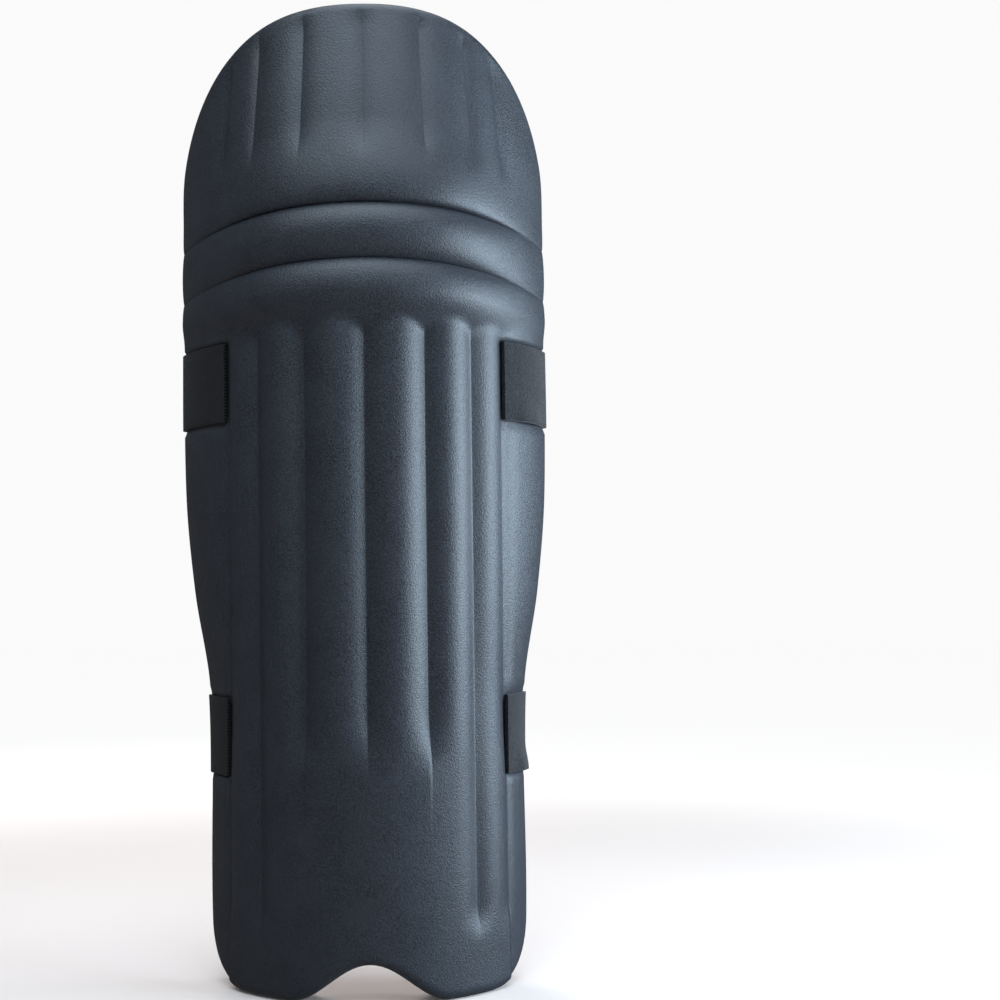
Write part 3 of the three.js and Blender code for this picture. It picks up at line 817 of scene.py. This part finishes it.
def column_heights(lane, share):
    """Heights of a column's points, which follow the pad's lines across the front."""
    foot = float(foot_edge(column_angle(lane, share, 0.0)))
    drop = float(CREASE_DROP * across(column_angle(lane, share, CREASE_LOW)) ** 2)
    top = SHOULDER
    for _ in range(6):
        top = float(dome_top(column_angle(lane, share, top), HEIGHT, WRAP))
    band = lerp(CREASE_HIGH - drop, top, BAND_ROWS_SHARE)
    stops = (
        (foot, INSTEP_FOOT, ease(ROW_STEPS["foot"])),
        (INSTEP_FOOT, RIB_FOOT, even(ROW_STEPS["instep"])),
        (RIB_FOOT, RIB_FOOT + RIB_EASE, even(ROW_STEPS["rib_end"])),
        (RIB_FOOT + RIB_EASE, RIB_TOP - RIB_EASE, even(ROW_STEPS["ribs"])),
        (RIB_TOP - RIB_EASE, RIB_TOP, even(ROW_STEPS["rib_top"])),
        (RIB_TOP, CREASE_LOW - drop, ease(ROW_STEPS["roll"])),
        (CREASE_LOW - drop, CREASE_HIGH - drop, ease(ROW_STEPS["second_roll"])),
        (CREASE_HIGH - drop, band, ease(ROW_STEPS["band"])),
        (band, top, even(ROW_STEPS["dome"]) ** DOME_CROWD),
    )
    rows = [lerp(low, high, shares)[:-1] for low, high, shares in stops]
    return np.concatenate((*rows, [top]))


def make_shell():
    half = shell_columns()
    left = [(lane, share, -1) for lane, share in half[:0:-1]]
    columns = left + [(lane, share, 1) for lane, share in half]
    heights = np.array([column_heights(lane, share) for lane, share, side in columns])
    pairs = zip(columns, heights)
    angles = np.array([side * column_angle(lane, share, z) for (lane, share, side), z in pairs])
    piece, column, row = flat_sheet("shell", len(columns) - 1, heights.shape[1] - 1)
    angle, z = angles[column, row], heights[column, row]
    edge = from_outline(shell_outline(), angle, z)
    lane = np.array([lane for lane, share, side in columns])[column]
    share = np.array([share for lane, share, side in columns])[column]
    depth = np.maximum(turn_in(edge, RIM_ROUND), strap_seat(angle, z))
    face = place(angle, z, depth - relief(lane, share, angle, z, edge))
    back = place(angle, z, WALL - turn_in(edge, BACK_ROUND))
    set_cut(piece, radius(z) * angle, z)
    thicken(piece, face, back)
    layer = len(face)
    select(piece, "EDGE", lambda rung: (rung.vertices[0] < layer) != (rung.vertices[1] < layer))
    bpy.ops.mesh.subdivide_edgering(number_cuts=3, interpolation="LINEAR", smoothness=0)
    bpy.ops.object.mode_set(mode="OBJECT")
    smooth(piece, math.radians(80))
    dress(piece, foam_finish(), "front_shell")


# Linings lie on the shell's inside: a floor depth, and a rise that swells away from the edges
def at_depth(x, z, depth):
    return np.arcsin(x / (radius(z) - depth))


def bolster_inner(z):
    return at_depth(read(LINING_EDGES, "inner", z), z, LINING_FLOOR + EDGE_WALL)


def bolster_outer(z):
    return np.radians(read(LINING_EDGES, "outer", z) + SIDE_SPREAD)


def panel(name, columns, rows, left, right, low, high, floor, rise, lean=lambda p: 0 * p):
    """A padded panel between two edges, moulded from a flat sheet. Gives the piece and its chart."""
    piece, column, row = flat_sheet(name, len(columns) - 1, len(rows) - 1)
    p, q = columns[column], rows[row]
    foot = low(lerp(left(0.0), right(0.0), p), p)
    top = high(lerp(left(KNEE_FOOT), right(KNEE_FOOT), p), p)
    z = lerp(foot, top, q)
    angle = lerp(left(z), right(z), p)
    base = floor(angle, z)
    set_cut(piece, (radius(z) - base) * angle, z)
    face = place(angle, z, base)
    aim = angle - np.sign(angle) * lean(p)
    inwards = np.stack((-np.sin(aim), np.cos(aim), 0 * aim), -1)
    back = face + inwards * np.broadcast_to(rise(p, q, angle), z.shape)[:, None]
    thicken(piece, face, back)
    return piece, {"p": p, "q": q, "angle": angle, "z": z, "back": back}


def run_across(chart, first):
    """Length along the padded face of each point, from one edge of the panel across it."""
    order = np.lexsort((first * chart["p"], np.rint(chart["q"] * 1e5)))
    wide = len(np.unique(np.rint(chart["p"] * 1e5)))
    steps = np.linalg.norm(np.diff(chart["back"][order].reshape(-1, wide, 3), axis=1), axis=2)
    run = np.concatenate((np.zeros((len(steps), 1)), np.cumsum(steps, axis=1)), axis=1)
    lengths = np.empty(len(order))
    lengths[order] = run.ravel()
    return lengths


def both_layers(values):
    return np.concatenate((values, values))


def inner_layer(values):
    return np.concatenate((np.zeros(len(values), bool), values))


def edge_of(chart):
    """Points on a panel's sewn outline, and all of the layer that lies on the shell."""
    p, q = chart["p"], chart["q"]
    rim = (p <= 0) | (p >= 1) | (q <= 0) | (q >= 1)
    return np.concatenate((np.ones(len(p), bool), rim))


def all_over(value):
    """One depth or height all over a panel."""
    return lambda angle, other: np.full(np.shape(other), value)


def make_back_cloth():
    reach = WRAP - EDGE_CLEAR
    wide = reach * (1 - (1 - even(40)) ** 1.6)
    columns = np.concatenate((-wide[:0:-1], wide)) / (2 * reach) + 0.5
    piece, _ = panel(
        "rim_cloth", columns, even(140), lambda z: -reach, lambda z: reach,
        lambda angle, p: foot_edge(angle) + CLOTH,
        lambda angle, p: dome_top(angle, HEIGHT, WRAP) - CLOTH,
        all_over(CLOTH_FLOOR), lambda p, q, angle: CLOTH,
    )
    smooth(piece)
    dress(piece, black_cloth_finish(), "back_cloth")


def knee_line(angle):
    """Foot of the knee lining, which follows the top of the side bolsters."""
    heights = np.arange(KNEE_FOOT, KNEE_SIDE_FOOT + 0.0005, 0.0005)
    reach = np.maximum.accumulate(bolster_inner(heights))
    at = np.searchsorted(reach, np.abs(angle) + EDGE_CLEAR)
    return heights[np.minimum(at, len(heights) - 1)]


def knee_top(angle):
    return dome_top(angle, LINING_TOP, WRAP - EDGE_CLEAR)


def knee_rise(p, q, angle):
    dip = KNEE_VALLEY["depth"] * (1 - smoothstep(np.abs(angle), KNEE_VALLEY["from"], KNEE_VALLEY["to"]))
    crown = swell(p, KNEE_TURN["across"]) * swell(q, KNEE_TURN["along"])
    return EDGE_WALL + (KNEE_LOFT - EDGE_WALL - dip) * crown


def make_knee_pad():
    piece, chart = panel(
        "knee_lining", ease(64), ease(56), lambda z: -KNEE_REACH, lambda z: KNEE_REACH,
        lambda angle, p: knee_line(angle), lambda angle, p: knee_top(angle),
        all_over(LINING_FLOOR), knee_rise,
    )
    flat = np.stack((radius(chart["z"]) * chart["angle"], chart["z"]), -1)
    rims = ((chart["q"] >= 1, "p"), (chart["p"] <= 0, "q"), (chart["p"] >= 1, "q"))
    edges = [flat[rim][np.argsort(chart[way][rim])] for rim, way in rims]
    climb = np.clip((chart["z"] - KNEE_SIDE_FOOT) / (FLANK_TOP - KNEE_SIDE_FOOT), 0, 1)
    inside = from_outline(edges, chart["angle"], chart["z"])
    mark(piece, "flank", both_layers(inside - lerp(FLANK_WIDTH, -0.001, climb)))
    label = np.abs(chart["angle"]) < LABEL_REACH + EDGE_CLEAR
    label &= np.abs(chart["z"] - LABEL["bottom"] - LABEL["height"] / 2) < LABEL["height"]
    sewn = edge_of(chart) | inner_layer(label)
    plump(piece, sewn, PLUMP_CAP["knee"])
    finish_pad(piece, knee_finish(), "knee_pad")


def make_label():
    def knee_face(angle, z):
        q = (z - knee_line(angle)) / (knee_top(angle) - knee_line(angle))
        return LINING_FLOOR + knee_rise((angle / KNEE_REACH + 1) / 2, q, angle) + GAP * 2

    def wave(p, rise, at, spread):
        return rise * np.exp(-(((p - at) / spread) ** 2))

    def top(angle, p):
        return LABEL["bottom"] + LABEL["height"] + wave(p, **LABEL_TOP_WAVE)

    def foot(angle, p):
        return LABEL["bottom"] + wave(p, **LABEL_FOOT_WAVE)

    def reach(z):
        middle = LABEL["bottom"] + LABEL["height"] / 2
        over = np.abs(z - middle) - LABEL["height"] / 2 + LABEL["round"]
        past = np.clip(over / LABEL["round"], 0, 1)
        return LABEL_REACH - LABEL["round"] / radius(z) * (1 - np.sqrt(1 - past**2))

    piece, chart = panel(
        "label", ease(40), ease(30), lambda z: -reach(z), reach, foot, top,
        knee_face, lambda p, q, angle: LABEL["wall"],
    )
    width = 2 * LABEL_REACH * radius(LABEL["bottom"])
    edge = np.minimum(to_edge(chart["p"]) * width, to_edge(chart["q"]) * LABEL["height"])
    mark(piece, "from_edge", both_layers(edge))
    smooth(piece)
    dress(piece, label_finish(), "label_patch")


def make_channel():
    def edge(z):
        return bolster_inner(z) - EDGE_CLEAR / 2

    piece, _ = panel(
        "channel", even(40), even(110), lambda z: -edge(z), edge,
        lambda angle, p: foot_edge(angle) + EDGE_WALL, all_over(KNEE_FOOT - 0.001),
        all_over(LINING_FLOOR), lambda p, q, angle: CHANNEL_WALL,
    )
    smooth(piece)
    dress(piece, channel_finish(), "channel_lining")


def make_column():
    floor = LINING_FLOOR + CHANNEL_WALL + GAP * 2

    def edge(z):
        return at_depth(read(LINING_EDGES, "column", z), z, floor)

    def rise(p, q, angle):
        turn = swell(p, CENTRE_TURN["across"]) * swell(q, CENTRE_TURN["along"])
        return lerp(EDGE_WALL, CENTRE_LOFT, turn)

    piece, chart = panel(
        "column", ease(24), eased_ends(12, 0.1, 100), lambda z: -edge(z), edge,
        lambda angle, p: foot_edge(angle) + EDGE_WALL * 2, all_over(COLUMN_TOP), all_over(floor), rise,
    )
    plump(piece, edge_of(chart), PLUMP_CAP["column"])
    finish_pad(piece, column_finish(), "centre_bolster")


def bolster_climb(out):
    """A side bolster climbs from the channel to a ridge, then drops as a steep gusset."""
    ramp = lerp(SIDE_INNER_SHARE, 1, smoothstep(out, 0, SIDE_RIDGE))
    seam = 1 - SIDE_SEAM["dip"] * np.exp(-(((out - SIDE_RIDGE) / SIDE_SEAM["width"]) ** 2))
    edges = np.where(out < 0.5, swell(out, SIDE_TURN["inner"]), swell(out, SIDE_TURN["outer"]))
    return ramp * seam * edges


def seam_line(chart, out, run):
    """Heights along the bolster's ridge, and how far the ridge lies from the inner edge there."""
    ridge = out[np.argmin(np.abs(out - SIDE_RIDGE))]
    near = np.abs(out - ridge) < 1e-6
    order = np.argsort(chart["z"][near])
    return chart["z"][near][order], run[near][order]


def make_bolster(hand, side, finish):
    def left(z):
        return bolster_inner(z) if side > 0 else -bolster_outer(z)

    def right(z):
        return bolster_outer(z) if side > 0 else -bolster_inner(z)

    def rise(p, q, angle):
        out = p if side > 0 else 1 - p
        ends = np.where(q < 0.5, swell(q, SIDE_TURN["foot"]), swell(q, SIDE_TURN["top"]))
        return EDGE_WALL + (SIDE_LOFT - EDGE_WALL) * bolster_climb(out) * ends

    def lean(p):
        return SIDE_LEAN * smoothstep(p if side > 0 else 1 - p, 0.2, 1)

    piece, chart = panel(
        f"{hand}_bolster", ease(32), eased_ends(14, 0.12, 110), left, right,
        lambda angle, p: foot_edge(angle) + BOLSTER_FOOT, all_over(BOLSTER_TOP),
        all_over(LINING_FLOOR), rise, lean,
    )
    out = chart["p"] if side > 0 else 1 - chart["p"]
    run = run_across(chart, side)
    seam = np.interp(chart["z"], *seam_line(chart, out, run))
    set_cut(piece, both_layers(run - seam), both_layers(chart["z"]))
    mark(piece, "from_inner", both_layers(run))
    mark(piece, "past_seam", both_layers(run - seam))
    plump(piece, edge_of(chart), PLUMP_CAP["bolster"])
    finish_pad(piece, finish, f"side_bolster_{hand}")


# Straps and webbing are bands of constant width, given thickness
def front_run(z):
    """Plan route over the shell's front and round its rim, for the +X side."""
    clear = WING_LEVEL + GAP * 2 + STRAP_WALL / 2 - STRAP_SINK
    begin = np.arcsin(STRAP_END / radius(z))
    run = np.stack(section_point(lerp(begin, WRAP - EDGE_CLEAR, ease(28)), z, -clear), -1)
    middle = np.array(section_point(WRAP, z, WALL / 2 - WING_LEVEL / 2))
    out = np.array((math.sin(WRAP), -math.cos(WRAP)))
    on = np.array((math.cos(WRAP), math.sin(WRAP)))
    reach = WALL / 2 + WING_LEVEL / 2 + GAP * 2 + STRAP_WALL / 2 - STRAP_SINK
    lift = RIM_ROUND + STRAP_WALL / 2
    turn = np.radians(np.linspace(10, 84, 12))[:, None]
    return np.concatenate((run, middle + out * reach * np.cos(turn) + on * lift * np.sin(turn)))


def bar_turn(bar, reach):
    """A turn round one of the ring's bars, from behind it to the leg side."""
    a = np.radians(np.linspace(90, -90, 19))
    return np.stack((bar[0] + reach * np.cos(a), bar[1] + abs(reach) * np.sin(a)), -1)


def strap_route(z, middle):
    ring = ring_centre(middle)
    bar = np.array((ring[0] + RING["width"] / 2 - RING["bar"] + BAR_TURN_IN, ring[1]))
    front = front_run(z)
    share = np.linspace(0, 1, 60)[1:-1, None]
    crossing = lerp(front[-1], bar + (0, BAR_TURN), share) + np.array((0, STRAP_BOW)) * hump(share)
    fold = lerp(bar - (0, BAR_TURN), bar + (FOLD_BACK, -BAR_TURN), np.linspace(0, 1, 24)[1:, None])
    return np.concatenate((front, crossing, bar_turn(bar, -BAR_TURN), fold))


def anchor_route(z, middle):
    ring = ring_centre(middle)
    bar = np.array((ring[0] - RING["width"] / 2 + RING["bar"] - BAR_TURN_IN, ring[1]))
    outside = ring[0] - RING["width"] / 2
    front = front_run(z) * (-1, 1)
    beside = (outside - STRAP_WALL, ring[1] + STRAP_WALL / 2)
    behind = (outside + 0.001, ring[1] + BAR_TURN)
    end = (outside, ring[1] - BAR_TURN)
    return np.concatenate((front, [beside, behind], bar_turn(bar, BAR_TURN), [end]))


def band(name, route, middle, rows=14):
    """A band lofted over its width. Gives the piece, its points' run and share, and its length."""
    across_width = np.linspace(-0.5, 0.5, rows + 1) * STRAP_WIDTH + middle
    loft = np.array([route(z, middle) for z in across_width])
    piece, column, row = flat_sheet(name, loft.shape[1] - 1, rows)
    plan = loft[row, column]
    run = np.concatenate(([0], np.cumsum(np.linalg.norm(np.diff(loft[rows // 2], axis=0), axis=1))))
    set_cut(piece, run[column], across_width[row])
    move(piece, np.stack((plan[:, 0], plan[:, 1] + SET_BACK, across_width[row]), -1))
    return piece, run[column], row / rows, float(run[-1])


def curl(piece, run, v):
    """Lifts the lower edge of a strap where it leaves the front, as worn pile does."""
    mesh = piece.data
    normals = np.array([n.vector for n in mesh.vertex_normals])
    along = smoothstep(run, *CURL["start"]) * (1 - smoothstep(run, *CURL["end"]))
    lift = CURL["lift"] * (1 - smoothstep(v, 0, CURL["share"])) * along
    move(piece, points(piece) + normals * lift[:, None])


def finish_band(piece, finish, node):
    """Gives a band its thickness, rounds its edges and dresses it."""
    modify(piece, "SOLIDIFY", thickness=STRAP_WALL, offset=0, use_even_offset=True)
    round_edges(piece, STRAP_BEVEL, 2, math.radians(50))
    dress(piece, finish, node)


def make_strap(level, finish):
    middle = STRAP_HEIGHTS[level]
    piece, run, v, length = band(f"{level}_strap", strap_route, middle)
    fold = length - FOLD_BACK - math.pi * BAR_TURN / 2
    # Marks where the strap folds back round the bar. The finish paints a highlight on the bare twill there.
    mark(piece, "at_fold", np.exp(-(((run - fold) / FOLD_SPREAD) ** 2)))
    curl(piece, run, v)
    finish_band(piece, finish, f"strap_{level}")


def make_anchor(level, finish):
    piece, _, _, length = band(f"{level}_anchor", anchor_route, STRAP_HEIGHTS[level])
    finish_band(piece, finish, f"anchor_{level}")


def make_ring(level, finish):
    """A flat plastic ring: a bar with its corners rounded, its slot inset and cut through."""
    z = STRAP_HEIGHTS[level]
    x, y = ring_centre(z)
    centre = Vector((x, y + SET_BACK, z))
    piece = start(bpy.ops.mesh.primitive_cube_add, f"{level}_ring", size=1)
    size = np.array((RING["width"], RING["wall"], RING["height"]))
    shape = points(piece) * size
    move(piece, shape)
    select(piece, "EDGE", lambda edge: np.ptp(shape[list(edge.vertices), 1]) > RING["wall"] / 2)
    bpy.ops.mesh.bevel(offset=RING["round"], segments=8, affect="EDGES")
    bpy.ops.object.mode_set(mode="OBJECT")
    select(piece, "FACE", lambda face: abs(face.normal.y) > 0.9)
    bpy.ops.mesh.inset(thickness=RING["end"])
    bpy.ops.mesh.bridge_edge_loops()
    bpy.ops.object.mode_set(mode="OBJECT")
    shape = points(piece)
    slot_edge = (np.abs(shape[:, 0]) < RING["width"] / 2 - RING["end"] + 1e-5)
    slot_edge &= (np.abs(shape[:, 2]) < RING["height"] / 2 - RING["end"] + 1e-5)
    shape[slot_edge, 0] *= (RING["width"] / 2 - RING["bar"]) / (RING["width"] / 2 - RING["end"])
    move(piece, shape + np.array(centre))
    round_edges(piece, RING["bevel"], 4, math.radians(40))
    dress(piece, finish, f"ring_{level}")


# Stage: a pale floor in a pale surround, lights and the camera
def make_stage():
    """A pale floor in a pale surround. The surround is only looked at: it throws no light on the pad."""
    disc, ball = bpy.ops.mesh.primitive_circle_add, bpy.ops.mesh.primitive_uv_sphere_add
    floor = start(disc, "floor", vertices=96, radius=FLOOR_RADIUS, fill_type="NGON")
    white = {"Specular_IOR_Level": 0.0, "Emission_Color": (1, 1, 1, 1)}
    f = Finish("pale_floor", (0.75, 0.75, 0.75), 0.9, **white)
    far = f.step(f.add("VectorMath", output=1, Vector=f.spot()), *FLOOR_FADE)
    f.tree.nodes["Vector Math"].operation = "LENGTH"
    f.colour(f.mix(far, (0.69, 0.605, 0.565), (0.05, 0.05, 0.05)))
    f.lead(f.step(far, 0, 1, *FLOOR_GLOW), "Emission Strength")
    floor.data.materials.append(f.material)
    floor.visible_glossy = False
    surround = start(ball, "surround", segments=48, ring_count=24, radius=FLOOR_RADIUS - 0.1)
    f = Finish("pale_surround", (0, 0, 0), 1.0, **white, Emission_Strength=SURROUND_GLOW)
    surround.data.materials.append(f.material)
    surround.visible_diffuse = False
    surround.visible_glossy = False
    surround.visible_shadow = False


def add_softbox(box):
    bpy.ops.object.light_add(type="AREA", location=box["at"])
    light = bpy.context.object
    light.name = box["name"]
    light.data.shape = "RECTANGLE"
    light.data.size, light.data.size_y = box["size"]
    light.data.energy = box["watts"]
    light.data.color = box["colour"]
    light.rotation_euler = (Vector(box["aim"]) - Vector(box["at"])).to_track_quat("-Z", "Y").to_euler()
    light.visible_glossy = box["mirrored"]


def light_stage():
    world = bpy.data.worlds.new("studio")
    bpy.context.scene.world = world
    world.use_nodes = True
    background = world.node_tree.nodes["Background"]
    background.inputs["Color"].default_value = (0.96, 0.98, 1.0, 1)
    background.inputs["Strength"].default_value = WORLD_GLOW
    for box in LIGHTS:
        add_softbox(box)


def add_camera():
    low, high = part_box("front_shell")
    bpy.ops.object.camera_add(location=(0, low.y - CAMERA["distance"], CAMERA["height"]))
    camera = bpy.context.object
    turn = Matrix.Rotation(math.radians(90 + CAMERA["tilt"]), 3, "X")
    camera.rotation_euler = (turn @ Matrix.Rotation(math.radians(CAMERA["roll"]), 3, "Z")).to_euler()
    camera.data.sensor_width = CAMERA["sensor"]
    camera.data.lens = CAMERA["lens"]
    camera.data.shift_x = CAMERA["shift"]
    bpy.context.scene.camera = camera


bpy.context.scene.view_settings.view_transform = "Standard"
make_stage()
light_stage()
add_camera()

make_shell()
make_back_cloth()
make_knee_pad()
make_label()
make_channel()
make_column()
BOLSTER = bolster_finish()
make_bolster("left", -1, BOLSTER)
make_bolster("right", 1, BOLSTER)
PILE, WEBBING, PLASTIC = pile_finish(), webbing_finish(), plastic_finish()
for level in STRAP_HEIGHTS:
    make_strap(level, PILE)
    make_anchor(level, WEBBING)
    make_ring(level, PLASTIC)
